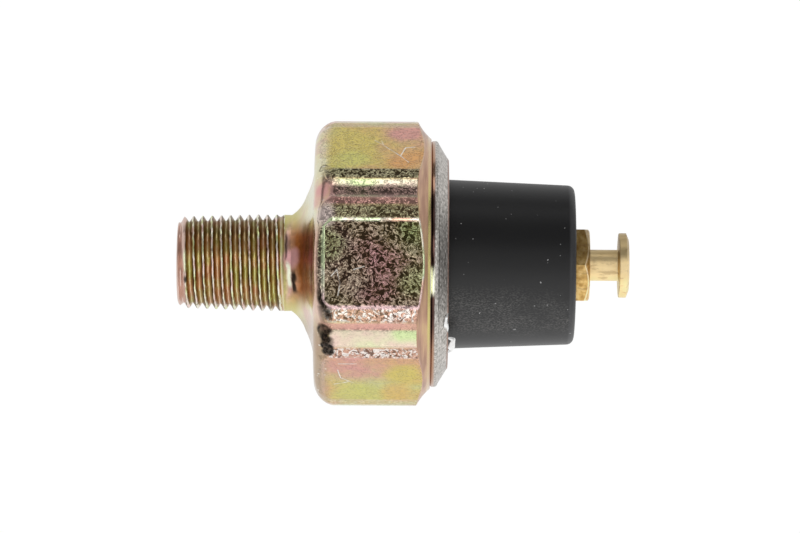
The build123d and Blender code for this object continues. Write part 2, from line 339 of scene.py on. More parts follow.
# Zones of the finish, kept on the mesh: the flats and bevels keep the rough drawn surface, and
# the plating is rubbed pale along their edges, a pale that also paints the highlight on their rounding.
def ring_zone(first_ring, share):
    """A value on every point of the body: a share of each angle, from a ring to the flats' end."""
    values = np.zeros((len(rings), len(hexagon_angles)))
    values[first_ring : flat_last_ring + 1] = np.clip(share, 0, 1)
    return values


zones = {
    "rough": ring_zone(rough_first_ring, (24.6 - from_flat) / 1.2),
    "bevelled": ring_zone(rough_first_ring, (from_flat - 17.8) / 0.5),
    "corner": ring_zone(rough_first_ring - 3, (from_flat - 23.8) / 0.8),
    "rubbed_highlight": ring_zone(flat_first_ring, 1.4 - np.abs(from_flat - flat_half_angle) / 0.75),
}
on_flat = np.clip((flat_half_angle + 0.6 - from_flat) / 0.6, 0, 1)
for edge_ring, share in ((0, 0.9), (1, 1.0), (2, 1.0)):
    for first_ring in (flat_first_ring, flat_last_ring):
        values = zones["rubbed_highlight"][first_ring + edge_ring]
        np.maximum(values, share * on_flat, out=values)
for name, values in zones.items():
    layer = steel_body.data.attributes.new(name, "FLOAT", "POINT")
    layer.data.foreach_set("value", values.reshape(-1).astype(np.float32))


# Thread: a V groove that follows a right-hand helix, runs in at the end round and runs out in
# front of the neck. It is cut by a Geometry Nodes tree, which also keeps the place in the pitch
# and a crest line for the highlight painted on the crests.
def add_node(tree, kind, inputs=None, **settings):
    """A node with its settings made, and its inputs linked or set by name or number."""
    node = tree.nodes.new(kind)
    for name, value in settings.items():
        setattr(node, name, value)
    for name, value in (inputs or {}).items():
        if hasattr(value, "is_linked"):
            tree.links.new(value, node.inputs[name])
        else:
            node.inputs[name].default_value = value
    return node


def output(tree, kind, inputs, **settings):
    """The first output of such a node."""
    return add_node(tree, kind, inputs, **settings).outputs[0]


def tree_of(*values):
    """The node tree that the linked values among these belong to."""
    return next(value.id_data for value in values if hasattr(value, "is_linked"))


def link_math(operation, *values):
    """The output of a math node with its inputs linked or set."""
    inputs = dict(enumerate(values))
    return output(tree_of(*values), "ShaderNodeMath", inputs, operation=operation)


def times(*values):
    """The product of two or more values."""
    product = values[0]
    for value in values[1:]:
        product = link_math("MULTIPLY", product, value)
    return product


def plus(first, second):
    """The sum of two values."""
    return link_math("ADD", first, second)


def minus(first, second):
    """The first value less the second."""
    return link_math("SUBTRACT", first, second)


def length_of(first, second):
    """The length of a line with these two parts."""
    return link_math("SQRT", plus(link_math("POWER", first, 2.0), link_math("POWER", second, 2.0)))


def fade(value, start, end, at_start=0.0, at_end=1.0, smooth=True):
    """Maps a value from one range to another, held at both ends. The range may be linked."""
    inputs = {"Value": value, "From Min": start, "From Max": end, "To Min": at_start, "To Max": at_end}
    kind = "SMOOTHSTEP" if smooth else "LINEAR"
    return output(value.id_data, "ShaderNodeMapRange", inputs, interpolation_type=kind)


def between(value, rise, fall, top=1.0):
    """A share that fades in over one range of a value and out over another."""
    return times(fade(value, *rise), fade(value, *fall, top, 0.0))


def geometry_tree(name, values, takes_mesh):
    """A Geometry Nodes tree with an input for each value. Returns the tree and its inputs."""
    tree = bpy.data.node_groups.new(name, "GeometryNodeTree")
    sockets = [("Geometry", "Geometry")] if takes_mesh else []
    sockets += [(value, "Float") for value in values] + [("Material", "Material")]
    for socket, kind in sockets:
        tree.interface.new_socket(socket, in_out="INPUT", socket_type="NodeSocket" + kind)
    tree.interface.new_socket("Geometry", in_out="OUTPUT", socket_type="NodeSocketGeometry")
    return tree, tree.nodes.new("NodeGroupInput").outputs


def end_tree(inputs, geometry):
    """Ends a Geometry Nodes tree in Realize Instances and Set Material."""
    tree = geometry.id_data
    pieces = output(tree, "GeometryNodeRealizeInstances", {0: geometry})
    finished = {"Geometry": pieces, "Material": inputs["Material"]}
    finished = output(tree, "GeometryNodeSetMaterial", finished)
    add_node(tree, "NodeGroupOutput", {0: finished})


def bake(piece, tree, values, material):
    """Runs a tree on a piece with its inputs set, and keeps the mesh in place of the modifier."""
    modifier = piece.modifiers.new(tree.name, "NODES")
    modifier.node_group = tree
    values = {**values, "Material": material}
    for item in tree.interface.items_tree:
        if item.in_out == "INPUT" and item.name in values:
            modifier[item.identifier] = values[item.name]
    evaluated = piece.evaluated_get(bpy.context.evaluated_depsgraph_get())
    mesh = bpy.data.meshes.new_from_object(evaluated)
    mesh.name = piece.name
    piece.modifiers.clear()
    piece.data = mesh


thread_values = {
    "Pitch": 0.907 * MM,
    "Groove Depth": 0.53 * MM,
    "Crest Station": 2.65 * MM,
    "Thread Start": 0.3 * MM,
    "Runout Start": 9.5 * MM,
    "Runout End": 10.5 * MM,
    "End Face": end_face_x * MM,
    "Axis Height": axis_height * MM,
    "Burr Height": 0.03 * MM,
    "Seed": 4.0,
}
thread_tree, inputs = geometry_tree("cut_thread", thread_values, takes_mesh=True)
position = thread_tree.nodes.new("GeometryNodeInputPosition").outputs[0]
along, across, up = add_node(thread_tree, "ShaderNodeSeparateXYZ", {0: position}).outputs
station = minus(along, inputs["End Face"])
above = minus(up, inputs["Axis Height"])
turn = link_math("DIVIDE", link_math("ARCTAN2", across, above), 2 * pi)
distance = length_of(across, above)
pitches = link_math("DIVIDE", minus(station, inputs["Crest Station"]), inputs["Pitch"])
waves = {"Vector": position, "Scale": 650.0, "Detail": 3.0}
wave = output(thread_tree, "ShaderNodeTexNoise", waves)
helix = plus(plus(pitches, turn), times(minus(wave, 0.5), 0.1))
phase = link_math("FRACT", helix)
crest_side = times(link_math("ABSOLUTE", minus(phase, 0.5)), 2.0)
groove = fade(crest_side, 0.1, 0.86, 1.0, 0.0, smooth=False)
ragged = output(thread_tree, "ShaderNodeTexNoise", {"Vector": position, "Scale": 1400.0})
# The crest line shifts with the distance across, as a reflection does, for the painted crest highlight.
crest_glint_line = plus(times(minus(ragged, 0.5), 0.3), times(across, 24.0))
crest_glint_line = link_math("FRACT", plus(helix, crest_glint_line))
crest_glint_line = times(link_math("ABSOLUTE", minus(crest_glint_line, 0.5)), 2.0)
run_in = fade(station, 0.0, inputs["Thread Start"], smooth=False)
run_out = fade(station, inputs["Runout Start"], inputs["Runout End"], 1.0, 0.0, smooth=False)
outside = link_math("GREATER_THAN", distance, 3.6 * MM)
threaded = times(outside, link_math("LESS_THAN", station, inputs["Runout End"]))
cut = times(run_in, run_out, groove, threaded)
grain = {"Vector": position, "W": inputs["Seed"], "Scale": 1600.0, "Detail": 2.0}
burr = output(thread_tree, "ShaderNodeTexNoise", grain, noise_dimensions="4D")
inward = plus(times(cut, inputs["Groove Depth"]), times(burr, inputs["Burr Height"], threaded))
share = times(link_math("DIVIDE", inward, distance), -1.0)
offset = {1: times(across, share), 2: times(above, share)}
offset = output(thread_tree, "ShaderNodeCombineXYZ", offset)
geometry = inputs["Geometry"]
for name, value in (("groove", cut), ("crest_glint_line", crest_glint_line), ("phase", phase), ("threaded", threaded)):
    stored = {"Name": name, "Geometry": geometry, "Value": value}
    geometry = output(thread_tree, "GeometryNodeStoreNamedAttribute", stored)
moved = {"Geometry": geometry, "Offset": offset}
end_tree(inputs, output(thread_tree, "GeometryNodeSetPosition", moved))


# Plating of the body: yellow zinc, a thin gold film that drifts into pink and yellow-green. It is
# brown in the thread and under the hexagon, partly as painted shade, worn pale on edges, where the
# pale also paints their highlight, and gone from the rolled lip.
def new_material(name, roughness, metallic):
    """A material with a Principled shader. Returns the material, its tree and the shader."""
    material = bpy.data.materials.new(name)
    material.use_nodes = True
    shader = material.node_tree.nodes["Principled BSDF"]
    shader.inputs["Roughness"].default_value = roughness
    shader.inputs["Metallic"].default_value = metallic
    return material, material.node_tree, shader


def noise(tree, scale, detail=3.0, distortion=0.0, stretch=(1, 1, 1), turn=0.0):
    """A noise in object space, with a scale in waves per metre. Returns its value output."""
    place = tree.nodes.new("ShaderNodeTexCoord").outputs["Object"]
    mapping = {"Vector": place, "Scale": stretch, "Rotation": (0, 0, radians(turn))}
    mapped = output(tree, "ShaderNodeMapping", mapping)
    waves = {"Vector": mapped, "Scale": scale, "Detail": detail, "Distortion": distortion}
    return output(tree, "ShaderNodeTexNoise", waves)


def ramp(value, stops):
    """A colour ramp over a value. Stops are (place, colour)."""
    node = add_node(value.id_data, "ShaderNodeValToRGB", {0: value})
    while len(node.color_ramp.elements) < len(stops):
        node.color_ramp.elements.new(0.5)
    for element, (place, colour) in zip(node.color_ramp.elements, stops):
        element.position = place
        element.color = (*colour, 1)
    return node.outputs[0]


def mix_colour(share, first, second, blend="MIX"):
    """Two colours mixed by a share, each linked or set."""
    tree = tree_of(share, first, second)
    first, second = [(*c, 1) if isinstance(c, tuple) else c for c in (first, second)]
    inputs = {0: share, 6: first, 7: second}
    return add_node(tree, "ShaderNodeMix", inputs, data_type="RGBA", blend_type=blend).outputs[2]


def tinted(colour, tint):
    """A colour multiplied by a tint."""
    return mix_colour(1.0, colour, tint, "MULTIPLY")


def attribute(tree, name):
    """The value of a mesh attribute."""
    return add_node(tree, "ShaderNodeAttribute", attribute_name=name).outputs["Fac"]


def object_place(tree):
    """The place on the object, as a vector in metres."""
    return tree.nodes.new("ShaderNodeTexCoord").outputs["Object"]


def part_place(tree):
    """The station, the distance to the side and the height above the axis, in millimetres."""
    parts = add_node(tree, "ShaderNodeSeparateXYZ", {0: object_place(tree)}).outputs
    x, y, z = [link_math("DIVIDE", part, MM) for part in parts]
    return minus(x, end_face_x), y, minus(z, axis_height)


def bump(shader, height, distance):
    """A bump on the shader. The distance is in metres."""
    tree = height.id_data
    normal = output(tree, "ShaderNodeBump", {"Height": height, "Distance": distance})
    tree.links.new(normal, shader.inputs["Normal"])


def vector_math(tree, operation, inputs):
    """The outputs of a vector math node."""
    return add_node(tree, "ShaderNodeVectorMath", inputs, operation=operation).outputs


def nearness(tree, centre, reach, core=0.35, rim=1.3):
    """How near a place is to a point in millimetres: 1 within a core share of the reach, and 0
    beyond a rim share of it. Noise bends the outline."""
    centre = tuple(MM * c for c in centre)
    away = vector_math(tree, "DISTANCE", {0: object_place(tree), 1: centre})["Value"]
    wander = minus(noise(tree, 300, detail=5, stretch=(0.7, 1, 1)), 0.5)
    distance = plus(away, times(wander, reach * MM * 2.4))
    return fade(distance, reach * MM * core, reach * MM * rim, 1.0, 0.0)


def patch(tree, colour, centre, reach, tint, strength=1.0):
    """Lays a soft patch of a tint over a colour, round a point in millimetres."""
    return mix_colour(times(nearness(tree, centre, reach), strength), colour, tint)


def on_hexagon(turn, station, across, out=apothem):
    """A place on the hexagon in millimetres, at a turn from the upper flat and out from the axis."""
    turn = radians(turn)
    y = out * sin(turn) + across * cos(turn)
    z = axis_height + out * cos(turn) - across * sin(turn)
    return (end_face_x + station, y, z)


def face_patches(tree, colour, patches):
    """Lays patches on the hexagon, each (turn, station, across, reach, tint, strength)."""
    for turn, station, across, reach, tint, strength in patches:
        colour = patch(tree, colour, on_hexagon(turn, station, across), reach, tint, strength)
    return colour


def scratch(tree, start, end, width):
    """How much of a thin line between two places covers the surface, from 0 to 1."""
    start = np.array(start) * MM
    along = np.array(end) * MM - start
    sway = 0.18 * MM
    place = object_place(tree)
    wander = add_node(tree, "ShaderNodeTexNoise", {"Vector": place, "Scale": 700.0}).outputs["Color"]
    warped = vector_math(tree, "MULTIPLY_ADD", {0: wander, 1: (sway, sway, sway), 2: place})[0]
    from_start = vector_math(tree, "SUBTRACT", {0: warped, 1: tuple(start + sway / 2)})[0]
    slope = tuple(along / along.dot(along))
    way = vector_math(tree, "DOT_PRODUCT", {0: from_start, 1: slope})["Value"]
    held = link_math("MINIMUM", link_math("MAXIMUM", way, 0.0), 1.0)
    nearest = vector_math(tree, "SCALE", {0: tuple(along), "Scale": held})[0]
    away = vector_math(tree, "DISTANCE", {0: from_start, 1: nearest})["Value"]
    return fade(away, 0.3 * width * MM, width * MM, 1.0, 0.0)


def track(tree, turn, points, width, share=0.0):
    """Adds a line through points on one face of the hexagon to a share."""
    places = [on_hexagon(turn, *point) for point in points]
    for start, end in zip(places, places[1:]):
        share = link_math("MAXIMUM", share, scratch(tree, start, end, width))
    return share


zinc, tree, shader = new_material("yellow_zinc", 0.18, 1.0)
pink = (0.74, 0.38, 0.32)
orange = (0.78, 0.42, 0.16)
olive = (0.70, 0.57, 0.16)
lime = (0.64, 0.66, 0.20)
drift = noise(tree, 110, detail=4, distortion=0.6)
colour = ramp(drift, [
    (0.36, (0.72, 0.38, 0.29)),
    (0.44, (0.76, 0.46, 0.22)),
    (0.52, (0.74, 0.54, 0.20)),
    (0.60, (0.68, 0.60, 0.22)),
    (0.70, (0.64, 0.62, 0.30)),
])
colour = face_patches(tree, colour, [
    # Upper flat in the picture: yellow to olive on the left, pink at the top right, orange below it
    (60, 18.0, 0.0, 5.4, olive, 1.0),
    (60, 17.2, -2.6, 2.0, lime, 0.6),
    (60, 22.4, 2.6, 2.7, pink, 1.0),
    (60, 22.4, -2.2, 2.4, orange, 1.0),
    # Lower flat: pink along its upper left, gold and yellow-green at the right and along the bottom
    (-60, 17.6, 2.2, 3.6, pink, 1.0),
    (-60, 22.4, 1.0, 2.0, olive, 1.0),
    (-60, 17.6, -2.8, 3.4, lime, 0.8),
    (-60, 21.6, -2.4, 1.8, (0.78, 0.50, 0.16), 0.7),
])

# The rough drawn surface: fine curled hairs on a darker ground, laid only on the upward flat. Its
# dark ground is painted shade, the dark reflection of the camera above it, and its pale hairs are
# painted highlights on the crinkles. The flat is green towards its edges and purple in its middle.
# The bevels are painted dark with pale hairs towards the top of the picture and bright with dark
# crinkles towards the softbox, as painted shade and painted light.
hairs = fade(noise(tree, 1900, detail=1.5, distortion=1.8), 0.46, 0.57)
finer = fade(noise(tree, 2600, detail=1.0, distortion=2.0), 0.40, 0.62)
hairs = times(hairs, plus(times(finer, 0.75), 0.25))
black = (0.0, 0.0, 0.0)
white = (1.0, 1.0, 1.0)
purple = face_patches(tree, black, [(0, 20.2, -0.2, 3.0, white, 1.0), (0, 19.6, -3.2, 2.0, white, 1.0)])
green = face_patches(tree, black, [
    (0, 22.9, 3.0, 1.9, white, 1.0),
    (0, 23.0, -1.6, 1.5, white, 0.7),
    (0, 15.0, 1.6, 1.5, white, 0.8),
])
ground = mix_colour(purple, (0.04, 0.032, 0.02), (0.045, 0.018, 0.022))
ground = mix_colour(green, ground, (0.035, 0.055, 0.015))
pale_hair_highlight = mix_colour(purple, (0.84, 0.70, 0.53), (0.80, 0.44, 0.47))
pale_hair_highlight = mix_colour(green, pale_hair_highlight, (0.62, 0.76, 0.38))
drawn = mix_colour(hairs, ground, pale_hair_highlight)
station, sideways, above = part_place(tree)
upright = fade(above, 12.2, 12.6)
off_middle = link_math("ABSOLUTE", sideways)
upright = times(upright, fade(off_middle, 4.2, 4.4, 1.0, 0.0))
rough_share = attribute(tree, "rough")
corner_share = attribute(tree, "corner")
drawn_share = times(rough_share, upright)
on_bevel = times(rough_share, fade(attribute(tree, "bevelled"), 0.3, 0.9))
# Painted light and shade on the bevels: dark towards the top of the picture, bright towards the softbox,
# mostly on the upper part of the hexagon.
shaded_bevel_paint = mix_colour(hairs, (0.07, 0.06, 0.04), (0.76, 0.74, 0.46))
bevel_hairs = fade(noise(tree, 1100, detail=1.5, distortion=2.5), 0.47, 0.56)
lit_bevel_paint = mix_colour(bevel_hairs, (0.70, 0.42, 0.32), (1.0, 0.95, 0.90))
crinkles = fade(noise(tree, 1250, detail=2, distortion=2.0), 0.53, 0.60, 0.0, 0.92)
lit_bevel_paint = mix_colour(crinkles, lit_bevel_paint, (0.12, 0.06, 0.04))
towards_light = fade(sideways, 0.0, -4.0)
bevel_light_and_shade = mix_colour(towards_light, shaded_bevel_paint, lit_bevel_paint)
upper_half = fade(above, 6, 8, 0.25, 1.0)
colour = mix_colour(times(on_bevel, upper_half, 0.85), colour, bevel_light_and_shade)
sheen = ramp(noise(tree, 260, detail=3, stretch=(0.7, 1, 1)), [
    (0.38, (0.82, 0.58, 0.52)),
    (0.50, (0.80, 0.72, 0.52)),
    (0.62, (0.68, 0.80, 0.42)),
])
pink_band = between(off_middle, (5.6, 5.8), (6.25, 6.5), 0.75)
sheen = mix_colour(pink_band, sheen, (0.86, 0.40, 0.35))
# A dark band painted on the corners towards the top of the picture, a painted dark reflection.
painted_dark_band = between(sideways, (6.3, 6.7), (7.2, 7.7), 0.85)
sheen = mix_colour(painted_dark_band, sheen, mix_colour(hairs, (0.18, 0.10, 0.09), (0.56, 0.34, 0.31)))
colour = mix_colour(corner_share, colour, sheen)

# Turned zones in the order of their stations, from the neck to the lip. Round the neck they are
# brown on top and pale at the sides: the brown on the fillet is painted shade, the reflection of the
# shaded floor, the pale sides are painted reflection of the brighter room, and they are darker brown
# towards the bottom of the picture. In front of the flats the plating is worn pale at one corner
# and burnt black along the other.
wander = minus(noise(tree, 280, detail=4), 0.5)
wandering = plus(station, times(wander, 1.6))
turned_zones = [
    (10.5, (0.66, 0.62, 0.26)),
    (11.0, (0.72, 0.44, 0.38)),
    (11.5, (0.62, 0.32, 0.18)),
    (12.0, (0.40, 0.13, 0.03)),
    (13.1, (0.34, 0.10, 0.02)),
    (13.4, (0.62, 0.42, 0.30)),
    (13.9, (0.74, 0.50, 0.40)),
    (15.0, (0.76, 0.60, 0.34)),
]
low, high = turned_zones[0][0], turned_zones[-1][0]
place = fade(wandering, low, high, smooth=False)
near_end = ramp(place, [((s - low) / (high - low), c) for s, c in turned_zones])
pale_end = ramp(noise(tree, 260, detail=4), [
    (0.40, (0.80, 0.60, 0.50)),
    (0.50, (0.84, 0.76, 0.50)),
    (0.62, (0.84, 0.82, 0.60)),
])
# Darker brown towards the bottom of the picture.
brown_towards_bottom = fade(sideways, -4.5, -7.0, 0.0, 0.9)
pale_end = mix_colour(brown_towards_bottom, pale_end, (0.46, 0.33, 0.23))
fine_grain = ramp(noise(tree, 1800, detail=3), [(0.40, (0.86, 0.86, 0.86)), (0.62, (1.1, 1.1, 1.1))])
near_end = tinted(near_end, fine_grain)
pale_end = mix_colour(fade(station, 11.4, 12.4), (0.72, 0.66, 0.26), pale_end)
near_end = mix_colour(fade(off_middle, 2.4, 5.0), near_end, pale_end)
colour = mix_colour(fade(wandering, 14.0, 15.4, 1.0, 0.0), colour, near_end)
worn_specks = fade(noise(tree, 2000, detail=1), 0.68, 0.74)
worn_specks = times(worn_specks, fade(wandering, 14.6, 15.6, 0.8, 0.0), fade(station, 13.0, 13.5))
colour = mix_colour(worn_specks, colour, (0.96, 0.93, 0.84))
colour = mix_colour(times(drawn_share, 0.85), colour, drawn)
colour = patch(tree, colour, on_hexagon(0, 14.6, 4.9), 1.0, (0.95, 0.78, 0.72))
near_corner = 13.7
colour = patch(tree, colour, on_hexagon(30, 14.3, 0.3, near_corner), 1.4, (0.80, 0.42, 0.40), 0.9)
colour = patch(tree, colour, on_hexagon(-30, 14.7, 0.9, near_corner), 0.9, (0.82, 0.48, 0.36), 0.9)
# Black for the burnt marks, also used as painted shade on the neck.
burnt_and_shade_black = (0.012, 0.01, 0.008)
burnt_places = (
    (14.6, 0.3, 1.1),
    (14.75, -0.4, 1.05),
    (14.75, -1.3, 0.75),
    (14.85, -2.0, 0.7),
)
burnt_share = track(tree, 0, ((14.15, -2.9), (14.35, -4.1), (15.0, -5.1)), 0.7)
for burnt_station, across, reach in burnt_places:
    place = nearness(tree, on_hexagon(-30, burnt_station, across, near_corner), reach, 0.75, 1.15)
    burnt_share = link_math("MAXIMUM", burnt_share, place)
crusted = fade(noise(tree, 1300, detail=3), 0.48, 0.66, 1.0, 0.8)
burnt_share = times(burnt_share, crusted)
colour = mix_colour(burnt_share, colour, mix_colour(hairs, burnt_and_shade_black, (0.09, 0.06, 0.04)))
streaks_and_shade = ramp(noise(tree, 900, detail=3, stretch=(3, 0.3, 0.3)), [
    (0.35, (0.46, 0.27, 0.19)),
    (0.50, (0.60, 0.37, 0.25)),
    (0.65, (0.70, 0.48, 0.28)),
])
# The chamfer's streaks are painted darker in the middle, painted shade from the dark reflection of the
# camera.
middle_shade_paint = mix_colour(fade(off_middle, 0.5, 6.0), (0.70, 0.68, 0.64), white)
streaks_and_shade = tinted(streaks_and_shade, middle_shade_paint)
off_flats = minus(1.0, link_math("MAXIMUM", rough_share, corner_share))
turned_share = times(fade(station, 22.0, 22.8), off_flats)
colour = mix_colour(turned_share, colour, streaks_and_shade)
collar_share = fade(station, 24.45, 24.6)
groove_share = fade(station, 24.72, 24.8)
to_sides = fade(off_middle, 6.0, 10.0)
gold_ring = mix_colour(to_sides, (0.70, 0.60, 0.24), (0.70, 0.50, 0.30))
# The groove before the collar is painted dark in its middle and brown to the sides as painted shade, with
# a painted glint.
to_sides = fade(off_middle, 5.5, 9.5)
groove_shade_paint = mix_colour(to_sides, (0.12, 0.06, 0.05), (0.50, 0.30, 0.20))
glint_place = (end_face_x + 24.95, -1.9, axis_height + sqrt(collar_radius**2 - 1.9**2))
groove_shade_paint = patch(tree, groove_shade_paint, glint_place, 1.4, (1.0, 1.0, 0.80))
colour = mix_colour(collar_share, colour, mix_colour(groove_share, gold_ring, groove_shade_paint))

# Thread: pale ragged crests painted as a highlight, dark brown flanks that are partly painted shade,
# and a pale tan film along the root that is partly painted reflection
pitch_film_and_light = ramp(attribute(tree, "phase"), [
    (0.06, (0.20, 0.12, 0.04)),
    (0.16, (0.36, 0.20, 0.05)),
    (0.27, (0.56, 0.34, 0.12)),
    (0.36, (0.84, 0.70, 0.54)),
    (0.44, (1.00, 0.92, 0.74)),
    (0.53, (0.80, 0.66, 0.42)),
    (0.62, (0.52, 0.36, 0.18)),
    (0.74, (0.38, 0.23, 0.07)),
    (0.84, (0.15, 0.08, 0.03)),
    (0.95, (0.12, 0.07, 0.03)),
])
root_tint = ramp(noise(tree, 420, detail=2), [
    (0.38, (1.0, 0.84, 0.80)),
    (0.50, (1.0, 0.97, 0.86)),
    (0.62, (0.90, 1.0, 0.70)),
])
pitch_film_and_light = tinted(pitch_film_and_light, root_tint)
# Painted shade: the thread darker towards the top of the picture and lightest in the middle.
shade = ramp(fade(sideways, -4.8, 4.8, smooth=False), [
    (0.0, (0.84, 0.84, 0.84)),
    (0.22, (0.88, 0.88, 0.90)),
    (0.50, (0.98, 0.98, 0.98)),
    (0.65, (0.96, 0.93, 0.90)),
    (0.80, (0.60, 0.58, 0.52)),
    (1.0, (0.50, 0.48, 0.44)),
])
pitch_film_and_light = tinted(pitch_film_and_light, shade)
crest_glint_colour = ramp(noise(tree, 500, detail=2), [
    (0.36, (0.95, 0.72, 0.66)),
    (0.50, (0.95, 0.92, 0.78)),
    (0.64, (0.82, 0.90, 0.46)),
])
on_crest_glint = fade(attribute(tree, "crest_glint_line"), 0.74, 0.84)
on_crest_glint = times(on_crest_glint, fade(noise(tree, 900, detail=2), 0.30, 0.42, 0.3, 1.0))
thread_colour = mix_colour(on_crest_glint, pitch_film_and_light, crest_glint_colour)
end_land = fade(station, 0.75, 1.0, 1.0, 0.0)
thread_colour = mix_colour(end_land, thread_colour, (0.74, 0.54, 0.46))
threaded_share = attribute(tree, "threaded")
colour = mix_colour(threaded_share, colour, thread_colour)

# Pale rubbed edges, also painted highlights on the edges' rounding: pinker towards the bottom of the
# picture and strongest on the upward flat.
rubbed_highlight_tint = ramp(noise(tree, 330, detail=2), [
    (0.38, (1.0, 0.62, 0.45)),
    (0.50, (0.95, 0.92, 0.78)),
    (0.60, (0.82, 0.95, 0.58)),
])
rubbed_highlight_tint = mix_colour(fade(sideways, -1.0, -4.0), rubbed_highlight_tint, (1.0, 0.70, 0.70))
on_top = fade(above, 12.6, 12.8, 0.15, 1.0)
broken = fade(noise(tree, 1200, detail=2), 0.34, 0.5, 0.5, 1.0)
rubbed_highlight_share = times(attribute(tree, "rubbed_highlight"), on_top, broken)
colour = mix_colour(rubbed_highlight_share, colour, rubbed_highlight_tint)
grey = ramp(noise(tree, 5200, detail=2, stretch=(1, 0.6, 1), turn=-40), [
    (0.38, (0.38, 0.36, 0.33)),
    (0.50, (0.56, 0.53, 0.49)),
    (0.62, (0.76, 0.72, 0.68)),
])
lip_tip_share = times(fade(station, 26.35, 26.5), fade(station, 26.55, 26.57, 1.0, 0.3))
grey = mix_colour(lip_tip_share, grey, (0.40, 0.26, 0.21))
bare_share = fade(station, 25.1, 25.3)
colour = mix_colour(bare_share, colour, grey)

# Scratches: thin pale lines where something dragged over the flats
scratches = [
    (60, (19.3, 1.5), (20.9, -0.5), (22.0, -1.9), (22.6, -2.9)),
    (60, (21.8, -1.7), (22.3, 0.0), (23.2, 0.2)),
    (60, (19.9, 1.5), (20.2, 0.3)),
    (-60, (16.0, 3.1), (17.7, 3.1)),
    (-60, (15.9, 1.9), (16.2, 0.3), (17.4, -0.7)),
    (-60, (15.5, -1.0), (16.9, -0.5)),
    (0, (15.3, -1.2), (15.8, -0.6), (16.1, -2.0), (15.9, -3.1)),
    (0, (17.4, -0.6), (18.4, -0.3)),
]
scratched = 0.0
for turn, *points in scratches:
    scratched = track(tree, turn, points, 0.085, scratched)
scratched = times(scratched, fade(noise(tree, 800, detail=2), 0.36, 0.56, 0.3, 1.0))
colour = mix_colour(times(scratched, 0.85), colour, (0.95, 0.92, 0.86))

# Neck: a pink film, with a black spot and a dark line painted as shade and a glint painted as a
# highlight beside the thread's end, and on the land a painted glint and a black speck
def on_thread(station, across):
    """A place on top of the neck or thread, in millimetres."""
    return (end_face_x + station, across, axis_height + sqrt(neck_radius**2 - across**2))


colour = patch(tree, colour, on_thread(11.3, 0.4), 0.95, (0.78, 0.42, 0.44), 0.75)
jittered = plus(station, times(minus(noise(tree, 900, detail=2), 0.5), 0.5))
slanted = plus(jittered, times(sideways, 0.13))


def stroke(colour, where, stations, across, tint, strength):
    """Lays a narrow mark round the neck between two stations and between two places across."""
    first, last = stations
    low, high = across
    share = between(where, (first - 0.12, first + 0.12), (last - 0.12, last + 0.12))
    held = between(sideways, (low - 0.3, low + 0.3), (high - 0.5, high + 0.3), strength)
    return mix_colour(times(share, held), colour, tint)


colour = stroke(colour, jittered, (10.62, 10.8), (0.4, 3.0), burnt_and_shade_black, 0.9)
colour = stroke(colour, slanted, (11.1, 11.5), (-2.9, -0.7), burnt_and_shade_black, 0.95)
colour = stroke(colour, slanted, (10.72, 11.05), (-2.3, 0.1), (0.97, 1.0, 0.78), 1.0)
colour = stroke(colour, jittered, (0.7, 1.0), (-0.9, 1.2), (0.93, 1.0, 0.70), 0.9)
colour = patch(tree, colour, on_thread(0.9, -1.8), 0.4, burnt_and_shade_black, 0.9)
tree.links.new(colour, shader.inputs["Base Color"])

roughness = plus(times(bare_share, 0.22), 0.17)
roughness = minus(roughness, times(link_math("MAXIMUM", corner_share, rubbed_highlight_share), 0.05))
roughness = plus(roughness, times(threaded_share, 0.16))
at_neck = between(station, (10.3, 10.6), (12.2, 13.2))
roughness = plus(roughness, times(at_neck, 0.22))
roughness = plus(roughness, times(minus(turned_share, collar_share), 0.12))
tree.links.new(roughness, shader.inputs["Roughness"])
crinkled = plus(rough_share, times(corner_share, 0.3))
relief = times(hairs, crinkled, 1.2, minus(1.0, rubbed_highlight_share))
relief = plus(relief, times(noise(tree, 3500, detail=2), 0.10))
relief = plus(relief, times(noise(tree, 2600, detail=2), bare_share))
relief = minus(relief, times(scratched, 0.3))
bump(shader, relief, 0.05 * MM)

bake(steel_body, thread_tree, thread_values, zinc)
finish_surface(steel_body, 32)
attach(steel_body, "housing")
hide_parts("hex_body")


# Slivers: two curls of bare metal that rolling the lip over has raised on its edge. Each is a
# thin bent ribbon that starts and ends on the lip.
def ribbon(name, path, widths, thickness):
    """A closed bent strip along a path of (station, y, radius), widest across the path's plane."""
    points, faces = [], []
    centres = np.array([
        (end_face_x + s, y, axis_height + sqrt(r**2 - y**2)) for s, y, r in path
    ])
    fine = np.linspace(0, len(centres) - 1, 6 * len(centres))
    count = np.arange(len(centres))
    centres = np.stack([np.interp(fine, count, centres[:, k]) for k in range(3)], axis=1)
    for _ in range(4):
        centres[1:-1] = (centres[:-2] + 2 * centres[1:-1] + centres[2:]) / 4
    widths = np.interp(fine, count, widths)
    for i, centre in enumerate(centres):
        ahead = centres[min(i + 1, len(centres) - 1)] - centres[max(i - 1, 0)]
        ahead /= np.linalg.norm(ahead)
        outward = np.array([0.45, centre[1] * 0.09, 1.0])
        outward -= ahead * outward.dot(ahead)
        outward /= np.linalg.norm(outward)
        side = np.cross(ahead, outward)
        roll = sin(i * 0.2) * 0.3
        side, outward = side * cos(roll) + outward * sin(roll), outward * cos(roll) - side * sin(roll)
        half = widths[i] / 2
        for a, b in ((-half, -0.3), (0, 0.7), (half, -0.3), (0, -0.6)):
            points.append(tuple((centre + side * a + outward * b * thickness) * MM))
    for i in range(len(centres) - 1):
        for k in range(4):
            j = (k + 1) % 4
            faces.append([4 * i + k, 4 * i + j, 4 * i + 4 + j, 4 * i + 4 + k])
    faces += [[3, 2, 1, 0], [len(points) - 4 + k for k in range(4)]]
    mesh = bpy.data.meshes.new(name)
    mesh.from_pydata(points, [], faces)
    piece = put(name, mesh)
    finish_surface(piece, 50)
    return piece


